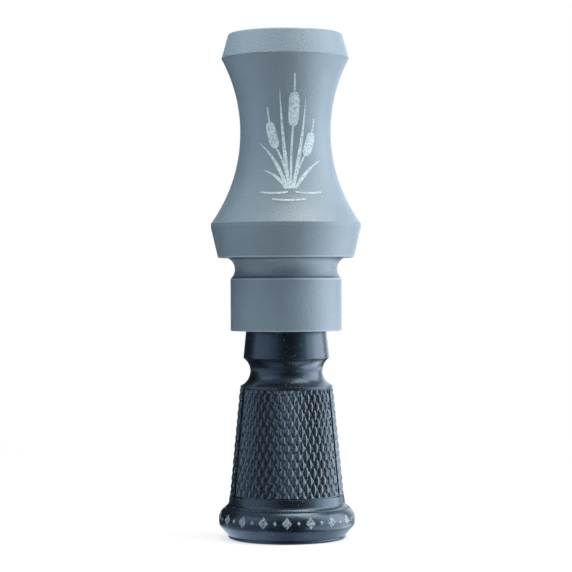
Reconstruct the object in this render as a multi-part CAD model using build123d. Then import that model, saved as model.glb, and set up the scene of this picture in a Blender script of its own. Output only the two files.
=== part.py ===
from build123d import *

import os
from math import sqrt

# A duck call standing on the bell of its insert, mouth end up. Millimetres.
# The axis of the call is Z, the foot of the bell is z = 0 and the reed faces -Y.

# Bell of the insert: heights going up, and steps of radius outwards and inwards
foot_land = 3.5
flare_lip = 0.6
foot_lip_height = 0.8
foot_lip_step = 0.3
foot_lip_bulge = 0.1
bevel_height = 2.6
bevel_step = 2.25
rim_lower_height = 1.5
rim_lower_step = 0.2
rim_upper_height = 2.95
rim_upper_step = 1.4
rim_round = 1.5
rim_notch_height = 0.3
rim_notch_step = 0.3
cove_height = 1.35
cove_step = 0.88
band_height = 1.5
band_step = 0.2

# Grip of the insert: a tapered field sunk below the band, where the chequering stands
grip_length = 27.05
grip_taper = 0.098
grip_depth = 0.55
grip_step = 0.16
border_width = 0.8
border_depth = 0.3
border_angle = 66.0

# Small flange and lanyard groove of the insert
insert_flange_thickness = 0.7
insert_flange_step = 0.25
insert_groove_radius = 4.05
insert_groove_depth = 1.73
insert_groove_step = 0.55

# Tapered plug, the part of it that shows below the barrel, and its seat
plug_radius = 10.9
plug_taper = 0.1
plug_showing = 6.86
plug_engaged = 20.0
socket_overrun = 3.0
socket_chamfer = 0.5
fit_clearance = 0.03

# Barrel, from its lower end up
collar_wall = 3.2
collar_length = 13.2
barrel_groove_radius = 3.2
barrel_groove_depth = 1.1
barrel_groove_step = 0.8
flange_ledge = 2.35
flange_length = 7.7
flange_step = 1.8
flange_land = 0.95
waist_wall = 3.55
waist_arc_radius = 39.4
mouth_lip_radius = 3.0
mouth_land = 3.5
mouth_edge_radius = 0.5
mouth_ring_step = 1.75
mouth_ring_length = 6.2

# Exhaust bore and the length of the bell's flare
exhaust_radius = 4.75
flare_length = 18.0

# Tone board: a tongue standing on the plug, flat on its reed side
bed_offset = 1.0
tongue_length = 38.0
tongue_clearance = 0.55
tongue_margin = 0.6
tongue_root = 1.0
tongue_tip_radius = 3.5
bed_flat_length = 12.0
bed_fall = 1.3
channel_width = 6.4
channel_depth = 4.8
channel_end_margin = 8.0

# Reed and the wedge that holds it
reed_side_room = 2.54
reed_thickness = 0.36
reed_tip_short = 0.6
reed_tip_corner = 2.5
reed_gap = 0.02
wedge_height = 2.9
wedge_depth = 12.5
wedge_showing = 2.5
wedge_lead = 0.8
slot_clearance = 0.2
slot_headroom = 0.05

# Light rounding of the turned edges, of the barrel and of the insert
edge_round = 0.22
fine_round = 0.1


def arc_climb(radius, reach):
    """Length along the axis over which a groove of this radius comes out by reach from its floor."""
    return sqrt(radius**2 - (radius - reach) ** 2)


# Heights that follow, going up the insert
bevel_foot = foot_lip_height
bevel_top = bevel_foot + bevel_height
rim_widest = bevel_top + rim_lower_height
rim_shoulder = rim_widest + rim_upper_height
rim_top = rim_shoulder + rim_notch_height
cove_top = rim_top + cove_height
grip_foot = cove_top + band_height
grip_top = grip_foot + grip_length
insert_flange_top = grip_top + insert_flange_thickness
insert_groove_floor = plug_radius - insert_groove_depth
insert_groove_edge = plug_radius + insert_groove_step
insert_groove_middle = insert_flange_top + arc_climb(
    insert_groove_radius, insert_groove_edge - insert_groove_floor
)
plug_foot = insert_groove_middle + arc_climb(insert_groove_radius, insert_groove_depth)
barrel_foot = plug_foot + plug_showing
plug_top = barrel_foot + plug_engaged
slot_foot = plug_top - wedge_depth
bed_curve_foot = plug_top + bed_flat_length
tongue_tip = plug_top + tongue_length

# Radii that follow, going down the insert from its plug
plug_end_radius = plug_radius - plug_taper * (plug_showing + plug_engaged)
insert_flange_radius = insert_groove_edge + insert_flange_step
grip_top_radius = insert_flange_radius + grip_step
grip_foot_radius = grip_top_radius + grip_taper * grip_length
band_radius = grip_foot_radius + band_step
rim_top_radius = band_radius + cove_step
rim_shoulder_radius = rim_top_radius + rim_notch_step
rim_radius = rim_shoulder_radius + rim_upper_step
bevel_top_radius = rim_radius - rim_lower_step
bevel_foot_radius = bevel_top_radius - bevel_step
foot_radius = bevel_foot_radius - foot_lip_step
flare_radius = foot_radius - foot_land - flare_lip

# Radii of the barrel, from the plug that it sits on and the bore above the plug
socket_radius = plug_radius - plug_taper * plug_showing + fit_clearance
socket_length = plug_engaged + socket_overrun
bore_radius = socket_radius - plug_taper * socket_length
collar_radius = plug_radius + collar_wall
barrel_groove_floor = collar_radius - barrel_groove_depth
barrel_groove_edge = collar_radius + barrel_groove_step
flange_foot_radius = barrel_groove_edge + flange_ledge
flange_radius = flange_foot_radius + flange_step
waist_radius = bore_radius + waist_wall
mouth_top_radius = bore_radius + mouth_lip_radius + mouth_land
mouth_ring_radius = mouth_top_radius + mouth_ring_step

# Heights that follow, going up the barrel
collar_top = barrel_foot + collar_length
barrel_groove_middle = collar_top + arc_climb(barrel_groove_radius, barrel_groove_depth)
flange_foot = barrel_groove_middle + arc_climb(
    barrel_groove_radius, barrel_groove_edge - barrel_groove_floor
)
flange_edge = flange_foot + flange_length
flange_top = flange_edge + flange_land
waist_middle = flange_top + arc_climb(waist_arc_radius, flange_radius - waist_radius)
mouth_ring_foot = waist_middle + arc_climb(waist_arc_radius, mouth_ring_radius - waist_radius)
mouth_top = mouth_ring_foot + mouth_ring_length

# Places of the tone board, the reed and the wedge across the call
tongue_radius = bore_radius - tongue_clearance
reed_width = 2 * (bore_radius - reed_side_room)
tongue_width = reed_width + 2 * tongue_margin
slot_width = reed_width + 2 * slot_clearance
bed_face = -bed_offset
reed_back = bed_face - reed_gap
reed_front = reed_back - reed_thickness
wedge_back = reed_front - reed_gap
wedge_front = wedge_back - wedge_height
slot_roof = wedge_front - slot_headroom


def rounded(face, corners, radius):
    """The same outline with these corners, given as (radius, height), rounded off."""
    for corner in corners:
        face = fillet(face.vertices().sort_by_distance(Vector(*corner, 0))[0], radius)
    return face


def turned(face):
    """Solid turned about Z from an outline drawn as (radius, height)."""
    return revolve(Plane.XZ * face, Axis.Z)


def block(width, front, back, foot, top):
    """Box of this width across X, between two places along Y and two heights."""
    middle = Pos(0, (front + back) / 2, (foot + top) / 2)
    return middle * Box(width, abs(back - front), top - foot)


def barrel_outside_edges():
    """Collar, lanyard groove, flange, waist and mouth ring, from the lower end up."""
    collar = (collar_radius, collar_top)
    groove = (barrel_groove_edge, flange_foot)
    shoulder = (flange_radius, flange_top)
    waist = (waist_radius, waist_middle)
    ring = (mouth_ring_radius, mouth_ring_foot)
    return [
        Line((collar_radius, barrel_foot), collar),
        ThreePointArc(collar, (barrel_groove_floor, barrel_groove_middle), groove),
        Polyline(
            groove,
            (flange_foot_radius, flange_foot),
            (flange_radius, flange_edge),
            shoulder,
        ),
        TangentArc(waist, shoulder, tangent=(0, -1)),
        TangentArc(waist, ring, tangent=(0, 1)),
        Line(ring, (mouth_top_radius, mouth_top)),
    ]


def barrel_inside_edges():
    """Rounded mouth, straight bore and tapered socket, from the mouth down."""
    lip_foot = (bore_radius, mouth_top - mouth_lip_radius)
    lip_edge = (bore_radius + mouth_lip_radius, mouth_top)
    return [
        Line((mouth_top_radius, mouth_top), lip_edge),
        TangentArc(lip_foot, lip_edge, tangent=(0, 1)),
        Polyline(
            lip_foot,
            (bore_radius, barrel_foot + socket_length),
            (socket_radius - plug_taper * socket_chamfer, barrel_foot + socket_chamfer),
            (socket_radius + socket_chamfer, barrel_foot),
            (collar_radius, barrel_foot),
        ),
    ]


def make_barrel():
    outline = make_face(barrel_outside_edges() + barrel_inside_edges())
    outline = rounded(outline, [(mouth_top_radius, mouth_top)], mouth_edge_radius)
    crisp = [
        (collar_radius, barrel_foot),
        (collar_radius, collar_top),
        (flange_foot_radius, flange_foot),
        (flange_radius, flange_edge),
        (flange_radius, flange_top),
        (mouth_ring_radius, mouth_ring_foot),
    ]
    return turned(rounded(outline, crisp, edge_round))


def bell_edges():
    """Foot and its lip, bevel, rim, notch, cove and band, from the axis at the foot up to the grip."""
    lip = (bevel_foot_radius + foot_lip_bulge, bevel_foot / 2)
    bevel_start = (bevel_foot_radius, bevel_foot)
    bevel = (bevel_top_radius, bevel_top)
    widest = (rim_radius, rim_widest)
    shoulder = (rim_shoulder_radius, rim_shoulder)
    notch = (rim_top_radius, rim_shoulder)
    edge = (rim_top_radius, rim_top)
    band = (band_radius, cove_top)
    return [
        Line((0, 0), (foot_radius, 0)),
        ThreePointArc((foot_radius, 0), lip, bevel_start),
        Line(bevel_start, bevel),
        TangentArc(widest, bevel, tangent=(0, -1)),
        TangentArc(widest, shoulder, tangent=(0, 1)),
        Polyline(shoulder, notch, edge),
        TangentArc(band, edge, tangent=(0, -1)),
        Line(band, (grip_foot_radius, grip_foot)),
    ]


def grip_and_plug_edges():
    """Sunk grip field, flange, lanyard groove and tapered plug, up to the axis at the plug's end."""
    groove_foot = (insert_groove_edge, insert_flange_top)
    groove_middle = (insert_groove_floor, insert_groove_middle)
    return [
        Polyline(
            (grip_foot_radius, grip_foot),
            (grip_foot_radius - grip_depth, grip_foot),
            (grip_top_radius - grip_depth, grip_top),
            (insert_flange_radius, grip_top),
            (insert_flange_radius, insert_flange_top),
            groove_foot,
        ),
        ThreePointArc(groove_foot, groove_middle, (plug_radius, plug_foot)),
        Polyline((plug_radius, plug_foot), (plug_end_radius, plug_top), (0, plug_top), (0, 0)),
    ]


def insert_outside():
    outline = make_face(bell_edges() + grip_and_plug_edges())
    outline = rounded(outline, [(bevel_top_radius, bevel_top)], rim_round)
    crisp = [
        (foot_radius, 0),
        (rim_shoulder_radius, rim_shoulder),
        (rim_top_radius, rim_top),
        (grip_foot_radius, grip_foot),
        (insert_flange_radius, grip_top),
        (insert_flange_radius, insert_flange_top),
        (plug_radius, plug_foot),
        (plug_end_radius, plug_top),
    ]
    return turned(rounded(outline, crisp, fine_round))


def grip_borders():
    """Four straight grooves down the grip, between its front, back and side panels."""
    floor = grip_depth + border_depth
    section = make_face(
        Polyline(
            (grip_foot_radius - floor, grip_foot),
            (grip_foot_radius, grip_foot),
            (grip_top_radius, grip_top),
            (grip_top_radius - floor, grip_top),
            close=True,
        )
    )
    groove = extrude(Plane.XZ * section, border_width / 2, both=True)
    front = [groove.rotate(Axis.Z, -90 + side * border_angle) for side in (-1, 1)]
    back = [groove.rotate(Axis.Z, 90 + side * border_angle) for side in (-1, 1)]
    return front + back


def tongue():
    """Tone board standing on the plug: round at the back, flat bed in front, rounded tip."""
    across = Circle(tongue_radius) & Pos(0, bed_face + tongue_radius) * Rectangle(
        tongue_width, 2 * tongue_radius
    )
    foot = plug_top - tongue_root
    body = extrude(Pos(0, 0, foot) * across, tongue_tip - foot)
    tip_corners = body.edges().filter_by(Axis.Y).group_by(Axis.Z)[-1]
    return fillet(tip_corners, tongue_tip_radius)


def bed_relief():
    """What is cut from the bed, so that it curves away from the reed towards the tip."""
    curve_foot = (bed_face, bed_curve_foot)
    curve_tip = (bed_face + bed_fall, tongue_tip)
    section = make_face(
        [
            TangentArc(curve_foot, curve_tip, tangent=(0, 1)),
            Polyline(curve_tip, (bed_face, tongue_tip), curve_foot),
        ]
    )
    return extrude(Plane.YZ * section, tongue_width / 2, both=True)


def tone_channel():
    """Round-bottomed trough along the bed, running down into the exhaust bore."""
    half = channel_width / 2
    floor_centre = bed_face + channel_depth - half
    foot = slot_foot - half
    top = tongue_tip - channel_end_margin
    trough = block(channel_width, bed_face, floor_centre, foot, top)
    round_floor = extrude(Pos(0, floor_centre, foot) * Circle(half), top - foot)
    return trough + round_floor


def exhaust_bore():
    """Bore from the slot down, opening into the flare of the bell."""
    flare_top = (exhaust_radius, flare_length)
    flare_foot = (flare_radius, 0)
    drill_tip = (0, slot_foot + exhaust_radius)
    flare = TangentArc(flare_top, flare_foot, tangent=(0, -1))
    bore = Polyline(flare_foot, (0, 0), drill_tip, (exhaust_radius, slot_foot), flare_top)
    return turned(make_face([flare, bore]))


def make_insert():
    body = insert_outside() + tongue() - bed_relief()
    body -= grip_borders()
    body -= block(slot_width, slot_roof, bed_face, slot_foot, plug_top)
    body -= tone_channel()
    body -= exhaust_bore()
    foot_hole = body.faces().sort_by(Axis.Z)[0].inner_wires()[0].edges()
    return fillet(foot_hole, flare_lip)


def make_reed():
    foot = slot_foot + slot_clearance
    strip = block(reed_width, reed_front, reed_back, foot, tongue_tip - reed_tip_short)
    tip_corners = strip.edges().filter_by(Axis.Y).group_by(Axis.Z)[-1]
    return chamfer(tip_corners, reed_tip_corner)


def make_wedge():
    foot = slot_foot + slot_clearance
    body = block(reed_width, wedge_front, wedge_back, foot, plug_top + wedge_showing)
    lead_edges = body.faces().sort_by(Axis.Y)[0].edges().filter_by(Axis.X)
    return chamfer(lead_edges, wedge_lead)


os.makedirs("parts", exist_ok=True)
export_step(make_barrel(), "parts/barrel.step")
export_step(make_insert(), "parts/insert.step")
export_step(make_reed(), "parts/reed.step")
export_step(make_wedge(), "parts/wedge.step")
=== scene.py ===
from math import radians

import bpy
import numpy as np
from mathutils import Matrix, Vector


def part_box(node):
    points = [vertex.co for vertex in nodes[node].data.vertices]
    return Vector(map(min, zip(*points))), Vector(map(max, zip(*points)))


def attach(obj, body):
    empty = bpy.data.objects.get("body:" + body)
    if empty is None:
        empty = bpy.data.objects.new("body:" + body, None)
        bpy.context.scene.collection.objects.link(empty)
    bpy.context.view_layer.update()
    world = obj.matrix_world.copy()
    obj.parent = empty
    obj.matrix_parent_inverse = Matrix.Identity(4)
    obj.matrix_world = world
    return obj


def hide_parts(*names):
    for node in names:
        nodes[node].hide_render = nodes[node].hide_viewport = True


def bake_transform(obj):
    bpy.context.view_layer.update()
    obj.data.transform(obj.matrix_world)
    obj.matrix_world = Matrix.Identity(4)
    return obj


# A duck call standing on the bell of its insert: grey barrel above, black insert below.
# Sizes in the dictionaries are millimetres unless a note says otherwise; meshes are metres.

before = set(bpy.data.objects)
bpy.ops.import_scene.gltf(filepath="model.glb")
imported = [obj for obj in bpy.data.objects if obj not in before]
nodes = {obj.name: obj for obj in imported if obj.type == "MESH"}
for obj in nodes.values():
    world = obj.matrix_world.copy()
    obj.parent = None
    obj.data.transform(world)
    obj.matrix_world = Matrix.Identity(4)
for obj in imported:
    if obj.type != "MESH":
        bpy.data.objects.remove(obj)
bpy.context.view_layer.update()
mm = 0.001
print("frame loaded with", ", ".join(sorted(nodes)))


# sRGB hex to linear: the sRGB curve undone on each channel
def linear(hexColour):
    c = np.array([int(hexColour[i:i + 2], 16) for i in (1, 3, 5)]) / 255
    c = np.where(c <= 0.04045, c / 12.92, ((c + 0.055) / 1.055) ** 2.4)
    return (*c.tolist(), 1.0)


# adds one node: settings are its properties, sockets hold a value or the output linked there
def addNode(tree, kind, sockets=None, **settings):
    node = tree.nodes.new(kind)
    for name, value in settings.items():
        setattr(node, name, value)
    for name, value in (sockets or {}).items():
        if isinstance(value, bpy.types.NodeSocket):
            tree.links.new(value, node.inputs[name])
        else:
            node.inputs[name].default_value = value
    return node


# a material with its tree, its shader and the Object coordinates that its patterns read
def newMaterial(name):
    material = bpy.data.materials.new(name)
    material.use_nodes = True
    tree = material.node_tree
    place = addNode(tree, "ShaderNodeTexCoord").outputs["Object"]
    return material, tree, tree.nodes["Principled BSDF"], place


def dress(piece, material):
    piece.data.materials.clear()
    piece.data.materials.append(material)


# noise cells of this size in mm, on Object coordinates in metres
def perMm(size):
    return 1 / (size * mm)


noiseSpan = (0.3, 0.7)         # nearly all of a noise texture lies between these
waveLength = 2 * np.pi / 20    # a wave texture repeats after this length at a scale of 1

# Cast acrylic, turned and then bead blasted: a cool grey with a fine even grain that
# breaks the light into a soft sheen, with a little sparkle where a highlight starts; the sharp
# edges carry a painted highlight, and the corners of the lanyard groove a painted shade
blasted = dict(
    colour="#566571", dusty="#5f6e7a", deep="#4b5964",
    roughness=(0.32, 0.44), ior=1.49,
    mottle=9.0,                    # dusty clouds in the colour
    grain=0.30,                    # blast pits are near 0.05, drawn this coarse so that they show
    grainRelief=0.28, grainBump=0.5,
    pitNoise=(0.56, 0.72),         # noise at which a pit begins and at which it is full
    pitShade=0.55,
    # the first is a painted highlight on the sharp edges, the second a painted shade in the groove's
    # corners
    paintedEdgeHighlight="#7c8f9d", paintedCornerShade="#36404a",
    rings=[                        # rings of painted highlight or painted shade as (radius, height, reach, which)
        (17.25, 71.11, 0.55, "paintedEdgeHighlight"), (14.10, 65.77, 0.45, "paintedEdgeHighlight"), (14.10, 52.57, 0.50, "paintedEdgeHighlight"),
        (14.50, 70.90, 0.60, "paintedCornerShade"), (13.75, 66.15, 0.50, "paintedCornerShade"),
    ],
)


def blastedAcrylic(look):
    material, tree, shader, place = newMaterial("beadBlastedAcrylic")
    mottle = addNode(tree, "ShaderNodeTexNoise", {
        "Vector": place, "Scale": perMm(look["mottle"]), "Detail": 3.0})
    grain = addNode(tree, "ShaderNodeTexNoise", {
        "Vector": place, "Scale": perMm(look["grain"]), "Detail": 1.5})
    tone = addNode(tree, "ShaderNodeMix", {
        "Factor": mottle.outputs["Fac"],
        "A": linear(look["colour"]), "B": linear(look["dusty"])}, data_type="RGBA")
    pits = addNode(tree, "ShaderNodeMapRange", {
        "Value": grain.outputs["Fac"], "From Min": look["pitNoise"][0], "From Max": look["pitNoise"][1],
        "To Min": 0.0, "To Max": look["pitShade"]})
    colour = addNode(tree, "ShaderNodeMix", {
        "Factor": pits.outputs["Result"],
        "A": tone.outputs["Result"], "B": linear(look["deep"])}, data_type="RGBA")
    # radius and height as a point in a plane, to measure how far each ring is
    spot = addNode(tree, "ShaderNodeSeparateXYZ", {"Vector": place}).outputs
    flat = addNode(tree, "ShaderNodeCombineXYZ", {"X": spot["X"], "Y": spot["Y"]})
    out = addNode(tree, "ShaderNodeVectorMath", {0: flat.outputs["Vector"]}, operation="LENGTH")
    section = addNode(tree, "ShaderNodeCombineXYZ", {"X": out.outputs["Value"], "Z": spot["Z"]})
    # near each ring the colour turns to a painted highlight or a painted shade
    for radius, height, reach, which in look["rings"]:
        away = addNode(tree, "ShaderNodeVectorMath", {
            0: section.outputs["Vector"], 1: (radius * mm, 0, height * mm)}, operation="DISTANCE")
        near = addNode(tree, "ShaderNodeMapRange", {
            "Value": away.outputs["Value"], "From Min": reach * mm, "From Max": 0.0},
            interpolation_type="SMOOTHSTEP")
        colour = addNode(tree, "ShaderNodeMix", {
            "Factor": near.outputs["Result"],
            "A": colour.outputs["Result"], "B": linear(look[which])}, data_type="RGBA")
    sheen = addNode(tree, "ShaderNodeMapRange", {
        "Value": grain.outputs["Fac"], "From Min": noiseSpan[0], "From Max": noiseSpan[1],
        "To Min": look["roughness"][0], "To Max": look["roughness"][1]})
    bump = addNode(tree, "ShaderNodeBump", {
        "Height": grain.outputs["Fac"],
        "Strength": look["grainBump"], "Distance": look["grainRelief"] * mm})
    tree.links.new(colour.outputs["Result"], shader.inputs["Base Color"])
    tree.links.new(sheen.outputs["Result"], shader.inputs["Roughness"])
    tree.links.new(bump.outputs["Normal"], shader.inputs["Normal"])
    shader.inputs["IOR"].default_value = look["ior"]
    return material


# Polycarbonate, turned and milled: a blue black that is almost all reflection, satin from the
# tool, with faint rings on the turned faces and scattered pale dust specks
machined = dict(
    colour="#0c1117", worn="#151b22", speck="#9fb0bd",
    sheenTint="#b8d0e8",
    roughness=(0.24, 0.33), ior=1.585,
    grain=0.4,
    ringPitch=2.2,                 # feed marks are near 0.1, drawn this coarse so that they show
    ringWander=0.4,
    relief=0.004, bump=0.6,
    dust=1.6,                      # room that each speck has
    speckEdge=(0.09, 0.05),        # where a speck begins and is full, as a share of that room
    speckShade=0.45,
)
# the same plastic where a cutter has left diamonds: more grain, and grooves painted darker than
# the tops as painted shade
milled = dict(machined, colour="#1f272e", worn="#2a333b", groove="#0a0e13", sheenTint="#d4e8fc",
              roughness=(0.12, 0.20), relief=0.06, grain=0.36)


def machinedPolycarbonate(name, look):
    material, tree, shader, place = newMaterial(name)
    grain = addNode(tree, "ShaderNodeTexNoise", {
        "Vector": place, "Scale": perMm(look["grain"]), "Detail": 2.0})
    dust = addNode(tree, "ShaderNodeTexVoronoi", {
        "Vector": place, "Scale": perMm(look["dust"])}, feature="F1")
    rings = addNode(tree, "ShaderNodeTexWave", {
        "Vector": place, "Scale": perMm(look["ringPitch"]) * waveLength, "Distortion": look["ringWander"]},
        wave_type="BANDS", bands_direction="Z", wave_profile="SIN")
    tone = addNode(tree, "ShaderNodeMix", {
        "Factor": grain.outputs["Fac"],
        "A": linear(look["colour"]), "B": linear(look["worn"])}, data_type="RGBA")
    # the grooves between the diamonds take a darker colour: painted shade
    if "groove" in look:
        crownShadeMask = addNode(tree, "ShaderNodeAttribute", attribute_name="crownShadeMask")
        tone = addNode(tree, "ShaderNodeMix", {
            "Factor": crownShadeMask.outputs["Fac"],
            "A": linear(look["groove"]), "B": tone.outputs["Result"]}, data_type="RGBA")
    specks = addNode(tree, "ShaderNodeMapRange", {
        "Value": dust.outputs["Distance"],
        "From Min": look["speckEdge"][0], "From Max": look["speckEdge"][1],
        "To Min": 0.0, "To Max": look["speckShade"]})
    colour = addNode(tree, "ShaderNodeMix", {
        "Factor": specks.outputs["Result"],
        "A": tone.outputs["Result"], "B": linear(look["speck"])}, data_type="RGBA")
    sheen = addNode(tree, "ShaderNodeMapRange", {
        "Value": grain.outputs["Fac"], "From Min": noiseSpan[0], "From Max": noiseSpan[1],
        "To Min": look["roughness"][0], "To Max": look["roughness"][1]})
    height = addNode(tree, "ShaderNodeMath", {
        0: rings.outputs["Fac"], 1: grain.outputs["Fac"]}, operation="ADD")
    bump = addNode(tree, "ShaderNodeBump", {
        "Height": height.outputs["Value"], "Strength": look["bump"], "Distance": look["relief"] * mm})
    tree.links.new(colour.outputs["Result"], shader.inputs["Base Color"])
    tree.links.new(sheen.outputs["Result"], shader.inputs["Roughness"])
    tree.links.new(bump.outputs["Normal"], shader.inputs["Normal"])
    shader.inputs["IOR"].default_value = look["ior"]
    shader.inputs["Specular Tint"].default_value = linear(look["sheenTint"])
    return material


# Polyester film, cut from sheet: milky, smooth, with faint lengthwise drawing streaks
film = dict(
    colour="#d9dcd4", streak="#c6cbc4",
    roughness=0.24, ior=1.64,
    streakWidth=0.6, streakLength=25.0,
    relief=0.01, bump=0.3,
)


def polyesterFilm(look):
    material, tree, shader, place = newMaterial("cutPolyesterFilm")
    across, along = perMm(look["streakWidth"]), perMm(look["streakLength"])
    stretch = addNode(tree, "ShaderNodeMapping", {"Vector": place, "Scale": (across, across, along)})
    streak = addNode(tree, "ShaderNodeTexNoise", {
        "Vector": stretch.outputs["Vector"], "Scale": 1.0, "Detail": 2.0})
    colour = addNode(tree, "ShaderNodeMix", {
        "Factor": streak.outputs["Fac"],
        "A": linear(look["colour"]), "B": linear(look["streak"])}, data_type="RGBA")
    bump = addNode(tree, "ShaderNodeBump", {
        "Height": streak.outputs["Fac"], "Strength": look["bump"], "Distance": look["relief"] * mm})
    tree.links.new(colour.outputs["Result"], shader.inputs["Base Color"])
    tree.links.new(bump.outputs["Normal"], shader.inputs["Normal"])
    shader.inputs["Roughness"].default_value = look["roughness"]
    shader.inputs["IOR"].default_value = look["ior"]
    return material


# Agglomerated cork, pressed and sliced: tan granules of mixed tone with dark seams and pores
corkLook = dict(
    pale="#c49a66", dark="#8a6038", seam="#4a3220",
    roughness=0.85, ior=1.45,
    granule=1.3,
    seamEdge=(0.09, 0.02),         # where a seam begins and is full, as a share of a granule
    pore=0.45,
    poreNoise=(0.62, 0.70),        # noise at which a pore begins and at which it is full
    markShade=0.8,
    relief=0.12, bump=0.7,
)


def pressedCork(look):
    material, tree, shader, place = newMaterial("pressedCork")
    granule = addNode(tree, "ShaderNodeTexVoronoi", {
        "Vector": place, "Scale": perMm(look["granule"])}, feature="F1")
    seam = addNode(tree, "ShaderNodeTexVoronoi", {
        "Vector": place, "Scale": perMm(look["granule"])}, feature="DISTANCE_TO_EDGE")
    pore = addNode(tree, "ShaderNodeTexNoise", {
        "Vector": place, "Scale": perMm(look["pore"]), "Detail": 2.0})
    tone = addNode(tree, "ShaderNodeMix", {
        "Factor": granule.outputs["Color"],
        "A": linear(look["pale"]), "B": linear(look["dark"])}, data_type="RGBA")
    line = addNode(tree, "ShaderNodeMapRange", {
        "Value": seam.outputs["Distance"],
        "From Min": look["seamEdge"][0], "From Max": look["seamEdge"][1],
        "To Min": 0.0, "To Max": look["markShade"]})
    hole = addNode(tree, "ShaderNodeMapRange", {
        "Value": pore.outputs["Fac"], "From Min": look["poreNoise"][0], "From Max": look["poreNoise"][1],
        "To Min": 0.0, "To Max": look["markShade"]})
    mark = addNode(tree, "ShaderNodeMath", {
        0: line.outputs["Result"], 1: hole.outputs["Result"]}, operation="MAXIMUM")
    colour = addNode(tree, "ShaderNodeMix", {
        "Factor": mark.outputs["Value"],
        "A": tone.outputs["Result"], "B": linear(look["seam"])}, data_type="RGBA")
    bump = addNode(tree, "ShaderNodeBump", {
        "Height": mark.outputs["Value"],
        "Strength": look["bump"], "Distance": look["relief"] * mm}, invert=True)
    tree.links.new(colour.outputs["Result"], shader.inputs["Base Color"])
    tree.links.new(bump.outputs["Normal"], shader.inputs["Normal"])
    shader.inputs["Roughness"].default_value = look["roughness"]
    shader.inputs["IOR"].default_value = look["ior"]
    return material


barrelFinish = blastedAcrylic(blasted)
insertFinish = machinedPolycarbonate("turnedPolycarbonate", machined)
gripFinish = machinedPolycarbonate("milledPolycarbonate", milled)
reedFinish = polyesterFilm(film)
corkFinish = pressedCork(corkLook)
dress(nodes["barrel"], barrelFinish)
dress(nodes["insert"], insertFinish)
dress(nodes["wedge"], corkFinish)
print("finishes on the turned pieces")


def meshPiece(name, points, faces, material, body):
    mesh = bpy.data.meshes.new(name)
    mesh.from_pydata(points.reshape(-1, 3) * mm, [], faces)
    mesh.validate()
    piece = bpy.data.objects.new(name, mesh)
    bpy.context.scene.collection.objects.link(piece)
    mesh.materials.append(material)
    if body:
        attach(piece, body)
    return piece


# triangles of a closed shell: an outer and an inner grid of the same size and the strip that
# joins their four borders; each cell is cut along the diagonal that rising chooses
def shellFaces(rows, columns, rising):
    index = np.arange(rows * columns).reshape(rows, columns)
    a, b = index[:-1, :-1].ravel(), index[:-1, 1:].ravel()
    c, d = index[1:, 1:].ravel(), index[1:, :-1].ravel()
    up = rising.ravel()[:, None]
    outer = np.concatenate([
        np.where(up, np.stack([a, b, c], 1), np.stack([a, b, d], 1)),
        np.where(up, np.stack([a, c, d], 1), np.stack([b, c, d], 1))])
    inner = outer[:, ::-1] + rows * columns
    ring = np.concatenate([index[0, :-1], index[:-1, -1], index[-1, :0:-1], index[:0:-1, 0]])
    after = np.roll(ring, -1)
    wall = np.concatenate([
        np.stack([ring, ring + rows * columns, after], 1),
        np.stack([after, ring + rows * columns, after + rows * columns], 1)])
    return np.concatenate([outer, inner, wall])


# point on a turned surface: angle from the front, towards +X, at this radius and height
def onTurned(angle, radius, height):
    return np.stack([radius * np.sin(angle), -radius * np.cos(angle), height], -1)


# Chequering milled into the grip: four panels of rounded diamonds between the border grooves
chequer = dict(
    foot=11.0, top=38.05, footRadius=14.51, topRadius=11.86,
    depth=0.44, root=0.35,             # diamonds above the field, and what is buried below it
    rowFoot=11.28, rowHeight=4.09,     # a row of diamonds is cut in half at the foot
    clearTop=0.16,                     # open line between the diamonds and the plain band above
    borderHalf=0.42,                   # half the width of a border groove
    cells=6,                           # mesh cells in a column and in a row
    swell=2.0,                         # more gives flatter tops and steeper grooves
    landColumns=0.17, landHeight=0.7,  # plain strip along each border groove
    fanFoot=0.972, fanTop=1.068,       # columns fan out a little less than the taper does
    panels=[                           # name, middle and half angle, columns on each side of the middle
        ("gripChequeringFront", 0.0, 66.0, 7.5), ("gripChequeringRight", 90.0, 24.0, 2.5),
        ("gripChequeringBack", 180.0, 66.0, 7.5), ("gripChequeringLeft", -90.0, 24.0, 2.5),
    ],
)


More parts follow.
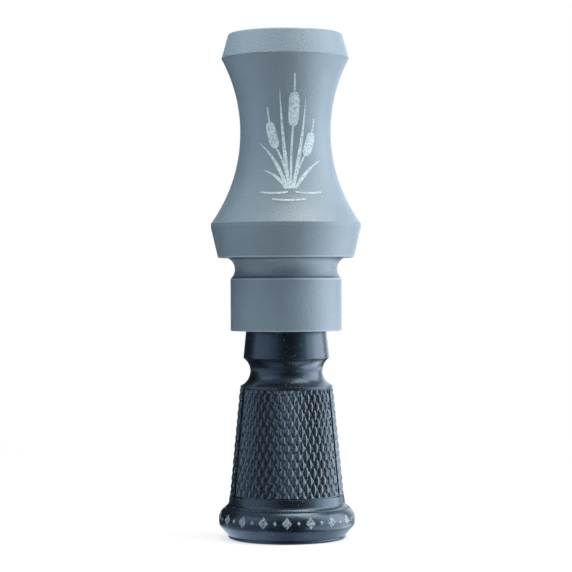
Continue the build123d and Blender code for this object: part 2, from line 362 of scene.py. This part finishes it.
# Diamonds on a cone: u counts columns and v rows, and the height over the field is
# (1 - |2a| ^ swell) (1 - |2b| ^ swell), where a = u + v and b = u - v are taken from their
# nearest whole number
def chequeredPanel(look, name, middle, half, columns):
    step = 1 / look["cells"]
    high = (look["top"] - look["clearTop"] - look["rowFoot"]) / look["rowHeight"]
    v = np.minimum(np.arange(0, np.ceil(high * look["cells"]) + 1) * step, high)[:, None]
    u = np.arange(-columns * look["cells"], columns * look["cells"] + 1)[None, :] * step
    z = look["rowFoot"] + v * look["rowHeight"]
    rise = (z - look["foot"]) / (look["top"] - look["foot"])
    crest = look["footRadius"] + (look["topRadius"] - look["footRadius"]) * rise
    fan = look["fanFoot"] + (look["fanTop"] - look["fanFoot"]) * rise
    across = u / columns
    reach = radians(half) - look["borderHalf"] / crest
    angle = radians(middle) + reach * across * (fan + (1 - fan) * across ** 2)
    a, b = u + v, u - v
    a, b = np.abs(a - np.round(a)), np.abs(b - np.round(b))
    peak = (1 - (2 * a) ** look["swell"]) * (1 - (2 * b) ** look["swell"])
    peak = np.where(np.abs(u) > columns - look["landColumns"] - step / 2, look["landHeight"], peak)
    outer = onTurned(angle, crest - look["depth"] * (1 - peak), z + 0 * angle)
    inner = onTurned(angle, crest - look["depth"] - look["root"] + 0 * angle, z + 0 * angle)
    # the valleys run along cell diagonals, so the nearer valley chooses the cut
    uMiddle = u[:, :-1] + step / 2
    vMiddle = (np.arange(v.shape[0] - 1) * step + step / 2)[:, None]
    a, b = uMiddle + vMiddle, uMiddle - vMiddle
    rising = np.abs(b - np.round(b)) > np.abs(a - np.round(a))
    faces = shellFaces(v.shape[0], u.shape[1], rising)
    piece = meshPiece(name, np.stack([outer, inner]), faces, gripFinish, "insert")
    crownShadeMask = piece.data.attributes.new("crownShadeMask", "FLOAT", "POINT")    # 1 on a top and 0 in a groove, where the painted shade is full
    crownShadeMask.data.foreach_set("value", np.stack([peak, 0 * peak]).ravel())


for name, middle, half, columns in chequer["panels"]:
    chequeredPanel(chequer, name, middle, half, columns)
print("grip chequered")

# Reed: a strip of film with a clipped tip
reed = dict(corner=2.5, alongCells=80, acrossCells=12)


# A flat strip on a grid of height and width, the size of the CAD reed, whose half width shrinks
# by the corner at the tip
def reedStrip(look):
    low, high = (np.array(corner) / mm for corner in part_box("reed"))
    t = np.linspace(0, 1, look["alongCells"] + 1)[:, None]
    s = np.linspace(-1, 1, look["acrossCells"] + 1)[None, :]
    z = low[2] + (high[2] - low[2]) * t
    clipped = np.clip(z - (high[2] - look["corner"]), 0, None)
    x = s * ((high[0] - low[0]) / 2 - clipped)
    sides = [np.stack([x, np.full_like(x, y), z + 0 * x], -1) for y in (low[1], high[1])]
    rows, columns = x.shape
    faces = shellFaces(rows, columns, np.ones((rows - 1, columns - 1), bool))
    piece = meshPiece("reedFilm", np.stack(sides), faces, reedFinish, None)
    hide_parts("reed")
    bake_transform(piece)


reedStrip(reed)
print("reed in place")

# Laser frosting: the skin of the plastic is whitened in a fine stipple, pale and quite matt
frosting = dict(
    pale="#a2b1b8", dark="#7c8c95",
    roughness=0.75, ior=1.5,
    dot=0.42,
    dotNoise=(0.36, 0.6),          # noise from which the dark turns pale, and where it is all pale
    relief=0.03, bump=0.6,
)
rimFrosting = dict(frosting, pale="#7f8d98", dark="#3a444e")    # black plastic whitens less


def laserFrosting(name, look):
    material, tree, shader, place = newMaterial(name)
    dots = addNode(tree, "ShaderNodeTexNoise", {
        "Vector": place, "Scale": perMm(look["dot"]), "Detail": 1.0})
    spread = addNode(tree, "ShaderNodeMapRange", {
        "Value": dots.outputs["Fac"], "From Min": look["dotNoise"][0], "From Max": look["dotNoise"][1]})
    colour = addNode(tree, "ShaderNodeMix", {
        "Factor": spread.outputs["Result"],
        "A": linear(look["dark"]), "B": linear(look["pale"])}, data_type="RGBA")
    bump = addNode(tree, "ShaderNodeBump", {
        "Height": spread.outputs["Result"], "Strength": look["bump"], "Distance": look["relief"] * mm})
    tree.links.new(colour.outputs["Result"], shader.inputs["Base Color"])
    tree.links.new(bump.outputs["Normal"], shader.inputs["Normal"])
    shader.inputs["Roughness"].default_value = look["roughness"]
    shader.inputs["IOR"].default_value = look["ior"]
    return material


# Sprig of bulrushes frosted on the waist of the barrel. Each stroke is a curve of three points
# as (arc length from the front line, height), its width, and its kind: line, blade or head
sprig = dict(
    waistRadius=11.494, waistArc=39.4, waistMiddle=102.963,
    lift=0.035, layer=0.004,           # each stroke lies one layer above the stroke before it
    sink=0.12, alongCells=36, acrossCells=4,
    lineEnd=0.4, lineGrow=14,          # share of the width at a line's ends, and how fast it fills out
    bladeFoot=0.45, bladeGrow=3,       # the same at a blade's foot
    bladeTaper=0.8, bladeTip=0.03,
    headSquare=5, headEnd=0.01,        # more gives a head squarer shoulders
    strokes=[
        ((1.3, 88.0), (1.2, 96.0), (1.9, 103.6), 0.55, "line"),
        ((1.9, 103.6), (2.2, 108.0), (2.3, 112.2), 2.70, "head"),
        ((2.3, 112.2), (2.4, 114.2), (2.4, 116.6), 0.45, "line"),
        ((0.7, 88.0), (0.3, 93.5), (-2.3, 98.2), 0.50, "line"),
        ((-2.3, 98.2), (-3.5, 101.2), (-4.1, 104.8), 2.40, "head"),
        ((-4.1, 104.8), (-4.4, 106.4), (-4.6, 108.4), 0.40, "line"),
        ((2.0, 88.0), (2.6, 92.5), (4.9, 96.4), 0.50, "line"),
        ((4.9, 96.4), (6.2, 98.8), (6.9, 102.2), 2.40, "head"),
        ((6.9, 102.2), (7.3, 103.8), (7.5, 105.6), 0.40, "line"),
        ((0.9, 88.0), (-0.9, 101.0), (-1.4, 113.0), 1.25, "blade"),
        ((1.7, 88.0), (4.4, 100.0), (5.2, 110.6), 1.25, "blade"),
        ((0.4, 88.0), (-2.2, 96.0), (-6.9, 99.6), 1.25, "blade"),
        ((2.4, 88.0), (5.6, 93.6), (9.6, 95.2), 1.25, "blade"),
        ((0.1, 88.0), (-2.2, 91.8), (-5.6, 92.6), 1.10, "blade"),
        ((-6.6, 87.2), (-2.6, 86.6), (0.6, 87.2), 0.45, "line"),
        ((2.4, 87.2), (5.6, 86.6), (9.4, 87.2), 0.45, "line"),
        ((-3.4, 85.4), (0.8, 84.8), (5.2, 85.4), 0.45, "line"),
    ],
)


# points and faces of many closed patches of one grid size, laid one after another
def patchShells(outer, inner):
    count, rows, columns = outer.shape[:3]
    one = shellFaces(rows, columns, np.ones((rows - 1, columns - 1), bool))
    faces = one[None] + (np.arange(count) * 2 * rows * columns)[:, None, None]
    return np.stack([outer, inner], 1), faces.reshape(-1, 3)


# A stroke is a quadratic curve P(t) = (1-t)^2 A + 2t(1-t) B + t^2 C laid on the waist, moved
# sideways by its half width; the waist's radius at a height is that of its turned arc
def frostedSprig(look, material):
    curves = np.array([stroke[:3] for stroke in look["strokes"]])[:, :, None, None, :]
    widths = np.array([stroke[3] for stroke in look["strokes"]])[:, None, None]
    kinds = ["line", "blade", "head"]
    kind = np.array([kinds.index(stroke[4]) for stroke in look["strokes"]])
    t = np.linspace(0, 1, look["alongCells"] + 1)[:, None]
    side = np.linspace(-0.5, 0.5, look["acrossCells"] + 1)[None, :]
    # share of its width that each kind has along the stroke
    line = np.clip(look["lineEnd"] + look["lineGrow"] * np.minimum(t, 1 - t), 0, 1)
    blade = look["bladeFoot"] + (1 - look["bladeFoot"]) * np.clip(look["bladeGrow"] * t, 0, 1)
    blade = blade * (1 - t) ** look["bladeTaper"] + look["bladeTip"]
    head = np.sqrt(np.clip(1 - np.abs(2 * t - 1) ** look["headSquare"], look["headEnd"], 1))
    shapes = np.stack([line, blade, head])[kind]
    a, b, c = curves[:, 0], curves[:, 1], curves[:, 2]
    spine = (1 - t[..., None]) ** 2 * a + 2 * (t * (1 - t))[..., None] * b + t[..., None] ** 2 * c
    along = 2 * (1 - t[..., None]) * (b - a) + 2 * t[..., None] * (c - b)
    along = along / np.linalg.norm(along, axis=-1, keepdims=True)
    offset = widths * shapes * side
    arc = spine[..., 0] + offset * along[..., 1]
    height = spine[..., 1] - offset * along[..., 0]
    drop = np.sqrt(look["waistArc"] ** 2 - (height - look["waistMiddle"]) ** 2)
    radius = look["waistRadius"] + look["waistArc"] - drop
    angle = arc / radius
    lift = look["lift"] + look["layer"] * np.arange(len(kind))[:, None, None]
    points, faces = patchShells(onTurned(angle, radius + lift, height),
                                onTurned(angle, radius - look["sink"], height))
    meshPiece("frostedSprig", points, faces, material, "barrel")


# Ring of lozenges frosted round the rim of the bell, tall ones and small ones in turn
rimRing = dict(
    count=36, middle=5.45,
    tall=(2.5, 3.0), small=(1.0, 1.2),     # width and height
    lift=0.03, sink=0.12, cells=4,
    rimRadius=17.29, rimWidest=4.9, upperArc=3.808, lowerArc=5.725,
)


# A lozenge is the square (p, q) turned on its corner: across (p + q) / 2 and up (p - q) / 2;
# the rim's radius comes from the arc above its widest height or the one below
def frostedRim(look, material):
    p, q = np.meshgrid(*[np.linspace(-0.5, 0.5, look["cells"] + 1)] * 2, indexing="ij")
    number = np.arange(look["count"])[:, None, None]
    wide = np.where(number % 2, look["small"][0], look["tall"][0])
    high = np.where(number % 2, look["small"][1], look["tall"][1])
    height = look["middle"] + high * (p - q) / 2
    above = height - look["rimWidest"]
    turn = np.where(above > 0, look["upperArc"], look["lowerArc"])
    radius = look["rimRadius"] - turn + np.sqrt(turn ** 2 - above ** 2)
    angle = 2 * np.pi * number / look["count"] + wide * (p + q) / 2 / radius
    points, faces = patchShells(onTurned(angle, radius + look["lift"], height),
                                onTurned(angle, radius - look["sink"], height))
    meshPiece("frostedRim", points, faces, material, "insert")


frostedSprig(sprig, laserFrosting("frostedAcrylic", frosting))
frostedRim(rimRing, laserFrosting("frostedPolycarbonate", rimFrosting))
print("frosted ornament laid")

# Studio: angles are degrees round the call from the camera side towards +X, sizes in metres,
# and light is the brightness of a box's front, where 1 is white; one with no elevation lies
# on the table and shines up
studio = {
    "rightFront": dict(azimuth=68, elevation=2, distance=0.62, width=0.24, height=0.80, light=3.7),
    "rightMiddle": dict(azimuth=90, elevation=2, distance=0.62, width=0.24, height=0.80, light=6.5),
    "rightBack": dict(azimuth=112, elevation=2, distance=0.62, width=0.24, height=0.80, light=5.2),
    "rightRim": dict(azimuth=156, elevation=2, distance=0.62, width=0.24, height=0.80, light=1.35),
    "leftSoftbox": dict(azimuth=-72, elevation=2, distance=0.62, width=0.72, height=0.80, light=0.82),
    "leftHigh": dict(azimuth=-60, elevation=33, distance=0.75, width=0.60, height=0.24, light=1.6),
    "rightHigh": dict(azimuth=65, elevation=50, distance=0.75, width=0.48, height=0.24, light=7.4),
    "rightUpper": dict(azimuth=80, elevation=36, distance=0.75, width=0.60, height=0.14, light=2.7),
    "topSoftbox": dict(azimuth=75, elevation=78, distance=0.70, width=0.40, height=0.40, light=12.5),
    "leftBounce": dict(azimuth=-95, elevation=70, distance=0.14, width=0.10, height=0.06, light=11.0),
    "frontBounce": dict(azimuth=-30, elevation=62, distance=0.135, width=0.10, height=0.06, light=2.8),
    "rightTable": dict(azimuth=85, distance=0.32, width=0.50, height=0.40, light=3.7),
    "rightTableNear": dict(azimuth=88, distance=0.086, width=0.11, height=0.072, light=6.2),
    "rightTableRim": dict(azimuth=62, distance=0.027, width=0.036, height=0.016, light=4.0),
    "leftTable": dict(azimuth=-60, distance=0.32, width=0.60, height=0.40, light=1.3),
}
lampColour = dict(left="#dcecff", right="#f1f8ff", high="#fffdf3")
highFrom = 45    # elevation from which a lamp takes the high colour
# black cards that only the reflections see, placed in the same way
cards = {
    "front": dict(azimuth=8, elevation=5, distance=0.95, width=1.0, height=1.0),
    "left": dict(azimuth=-135, elevation=5, distance=0.80, width=1.3, height=1.0),
    "frontTable": dict(azimuth=2, distance=0.36, width=0.44, height=0.56),
    "leftTable": dict(azimuth=-135, distance=0.30, width=0.50, height=0.555),
    "frontNear": dict(azimuth=8, distance=0.05, width=0.028, height=0.062),
}
# the height that they face, and how far over the table those lie that have no elevation
aim = dict(height=64.0, tableLight=0.6, tableCard=0.5)


# point at a distance from the call's middle and the turn that faces it back there, or flat on the table
def faceCall(look, lift):
    around = radians(look["azimuth"])
    if "elevation" not in look:
        x, y = np.sin(around) * look["distance"], -np.cos(around) * look["distance"]
        return (x, y, lift * mm), (radians(180), 0, around)
    up = radians(look["elevation"])
    way = Vector((np.sin(around) * np.cos(up), -np.cos(around) * np.cos(up), np.sin(up)))
    target = Vector((0, 0, aim["height"] * mm))
    return target + way * look["distance"], way.to_track_quat("Z", "Y").to_euler()


for name, look in studio.items():
    lamp = bpy.data.lights.new(name, "AREA")
    lamp.shape, lamp.size, lamp.size_y = "RECTANGLE", look["width"], look["height"]
    side = "left" if look["azimuth"] < 0 else "right"
    lamp.color = linear(lampColour["high" if look.get("elevation", 0) > highFrom else side])[:3]
    lamp.energy = look["light"] * np.pi * look["width"] * look["height"]
    box = bpy.data.objects.new(name, lamp)
    bpy.context.scene.collection.objects.link(box)
    box.location, box.rotation_euler = faceCall(look, aim["tableLight"])
    box.visible_camera = False
    box.visible_diffuse = "elevation" in look    # the ones on the table are only its sheen
    box.visible_glossy = "Bounce" not in name    # matt cards that throw light on the mouth

# Wool felt, pressed: all but black and quite matt, so it shows as a clean dark shape in the gloss
felt = dict(colour="#0a0b0c", roughness=1.0)
blackFelt, _, feltShader, _ = newMaterial("blackFelt")
feltShader.inputs["Base Color"].default_value = linear(felt["colour"])
feltShader.inputs["Roughness"].default_value = felt["roughness"]
for name, look in cards.items():
    x, y = look["width"] / 2, look["height"] / 2
    mesh = bpy.data.meshes.new(name)
    mesh.from_pydata([(-x, -y, 0), (x, -y, 0), (x, y, 0), (-x, y, 0)], [], [(0, 1, 2, 3)])
    mesh.materials.append(blackFelt)
    card = bpy.data.objects.new(name + "Card", mesh)
    bpy.context.scene.collection.objects.link(card)
    card.location, card.rotation_euler = faceCall(look, aim["tableCard"])
    card.visible_camera = card.visible_shadow = card.visible_diffuse = False


# 1 for camera, mirror and glass rays, which see the background, and 0 for those that light the scene
def seenDirectly(tree):
    path = addNode(tree, "ShaderNodeLightPath").outputs
    either = addNode(tree, "ShaderNodeMath", {
        0: path["Is Camera Ray"], 1: path["Is Glossy Ray"]}, operation="MAXIMUM")
    seen = addNode(tree, "ShaderNodeMath", {
        0: either.outputs["Value"], 1: path["Is Transmission Ray"]}, operation="MAXIMUM")
    return seen.outputs["Value"]


# White room and floor, distances in metres. The floor is part glow and part paper near the call, where
# it keeps the shadow, and all glow further out; reflections see a bluer white, brighter beside the foot
backdrop = dict(
    white="#ffffff", mirrored="#c8def4",
    fill="#202224",                    # what the room adds to the lamps
    floor="#dcdee0", floorRoughness=0.9, floorSize=30.0,
    floorGlow=0.75, fadeFrom=0.06, fadeTo=0.35,
    footGlow=0.95, footFrom=0.016, footTo=0.025, besideFrom=0.001, besideTo=0.006,
)
world = bpy.data.worlds.new("whiteStudio")
world.use_nodes = True
bpy.context.scene.world = world
tree = world.node_tree
around = addNode(tree, "ShaderNodeMix", {
    "Factor": addNode(tree, "ShaderNodeLightPath").outputs["Is Glossy Ray"],
    "A": linear(backdrop["white"]), "B": linear(backdrop["mirrored"])}, data_type="RGBA")
fill = addNode(tree, "ShaderNodeMix", {
    "Factor": seenDirectly(tree),
    "A": linear(backdrop["fill"]), "B": around.outputs["Result"]}, data_type="RGBA")
tree.links.new(fill.outputs["Result"], tree.nodes["Background"].inputs["Color"])

# Seamless paper off the roll: pale and matt, with no grain that shows at this distance
paper, tree, shader, place = newMaterial("whitePaperSweep")
shader.inputs["Base Color"].default_value = linear(backdrop["floor"])
shader.inputs["Roughness"].default_value = backdrop["floorRoughness"]
away = addNode(tree, "ShaderNodeVectorMath", {0: place}, operation="LENGTH")
fade = addNode(tree, "ShaderNodeMapRange", {
    "Value": away.outputs["Value"], "From Min": backdrop["fadeFrom"], "From Max": backdrop["fadeTo"],
    "To Min": backdrop["floorGlow"], "To Max": 1.0}, interpolation_type="SMOOTHSTEP")
path = addNode(tree, "ShaderNodeLightPath")
glowColour = addNode(tree, "ShaderNodeMix", {
    "Factor": path.outputs["Is Glossy Ray"],
    "A": linear(backdrop["white"]), "B": linear(backdrop["mirrored"])}, data_type="RGBA")
footGlow = addNode(tree, "ShaderNodeMapRange", {
    "Value": away.outputs["Value"], "From Min": backdrop["footFrom"], "From Max": backdrop["footTo"],
    "To Min": backdrop["footGlow"], "To Max": 0.0})
across = addNode(tree, "ShaderNodeMath", {
    0: addNode(tree, "ShaderNodeSeparateXYZ", {"Vector": place}).outputs["X"]}, operation="ABSOLUTE")
beside = addNode(tree, "ShaderNodeMapRange", {
    "Value": across.outputs["Value"],
    "From Min": backdrop["besideFrom"], "From Max": backdrop["besideTo"]})
lit = addNode(tree, "ShaderNodeMath", {
    0: footGlow.outputs["Result"], 1: beside.outputs["Result"], 2: 1.0}, operation="MULTIPLY_ADD")
strength = addNode(tree, "ShaderNodeMix", {
    "Factor": path.outputs["Is Glossy Ray"], "A": 1.0, "B": lit.outputs["Value"]}, data_type="FLOAT")
glow = addNode(tree, "ShaderNodeEmission", {
    "Color": glowColour.outputs["Result"], "Strength": strength.outputs["Result"]})
glowing = addNode(tree, "ShaderNodeMath", {
    0: fade.outputs["Result"], 1: path.outputs["Is Glossy Ray"]}, operation="MAXIMUM")
share = addNode(tree, "ShaderNodeMath", {
    0: seenDirectly(tree), 1: glowing.outputs["Value"]}, operation="MULTIPLY")
mixed = addNode(tree, "ShaderNodeMixShader", {
    "Fac": share.outputs["Value"], 1: shader.outputs["BSDF"], 2: glow.outputs["Emission"]})
tree.links.new(mixed.outputs["Shader"], tree.nodes["Material Output"].inputs["Surface"])
reach = backdrop["floorSize"]
mesh = bpy.data.meshes.new("floor")
mesh.from_pydata([(-reach, -reach, 0), (reach, -reach, 0), (reach, reach, 0), (-reach, reach, 0)],
                 [], [(0, 1, 2, 3)])
mesh.materials.append(paper)
floor = bpy.data.objects.new("floor", mesh)
bpy.context.scene.collection.objects.link(floor)

# Camera: level and straight in front, with angles in degrees
view = dict(side=-0.02, distance=516.6, height=63.92, angle=16.01, roll=0.22, nearClip=10.0)
eye = bpy.data.objects.new("camera", bpy.data.cameras.new("camera"))
bpy.context.scene.collection.objects.link(eye)
eye.data.angle = radians(view["angle"])
eye.data.clip_start = view["nearClip"] * mm
eye.location = (view["side"] * mm, -view["distance"] * mm, view["height"] * mm)
eye.rotation_euler = (radians(90), radians(view["roll"]), 0)
bpy.context.scene.camera = eye
bpy.context.scene.view_settings.view_transform = "Standard"
print("studio and camera set")
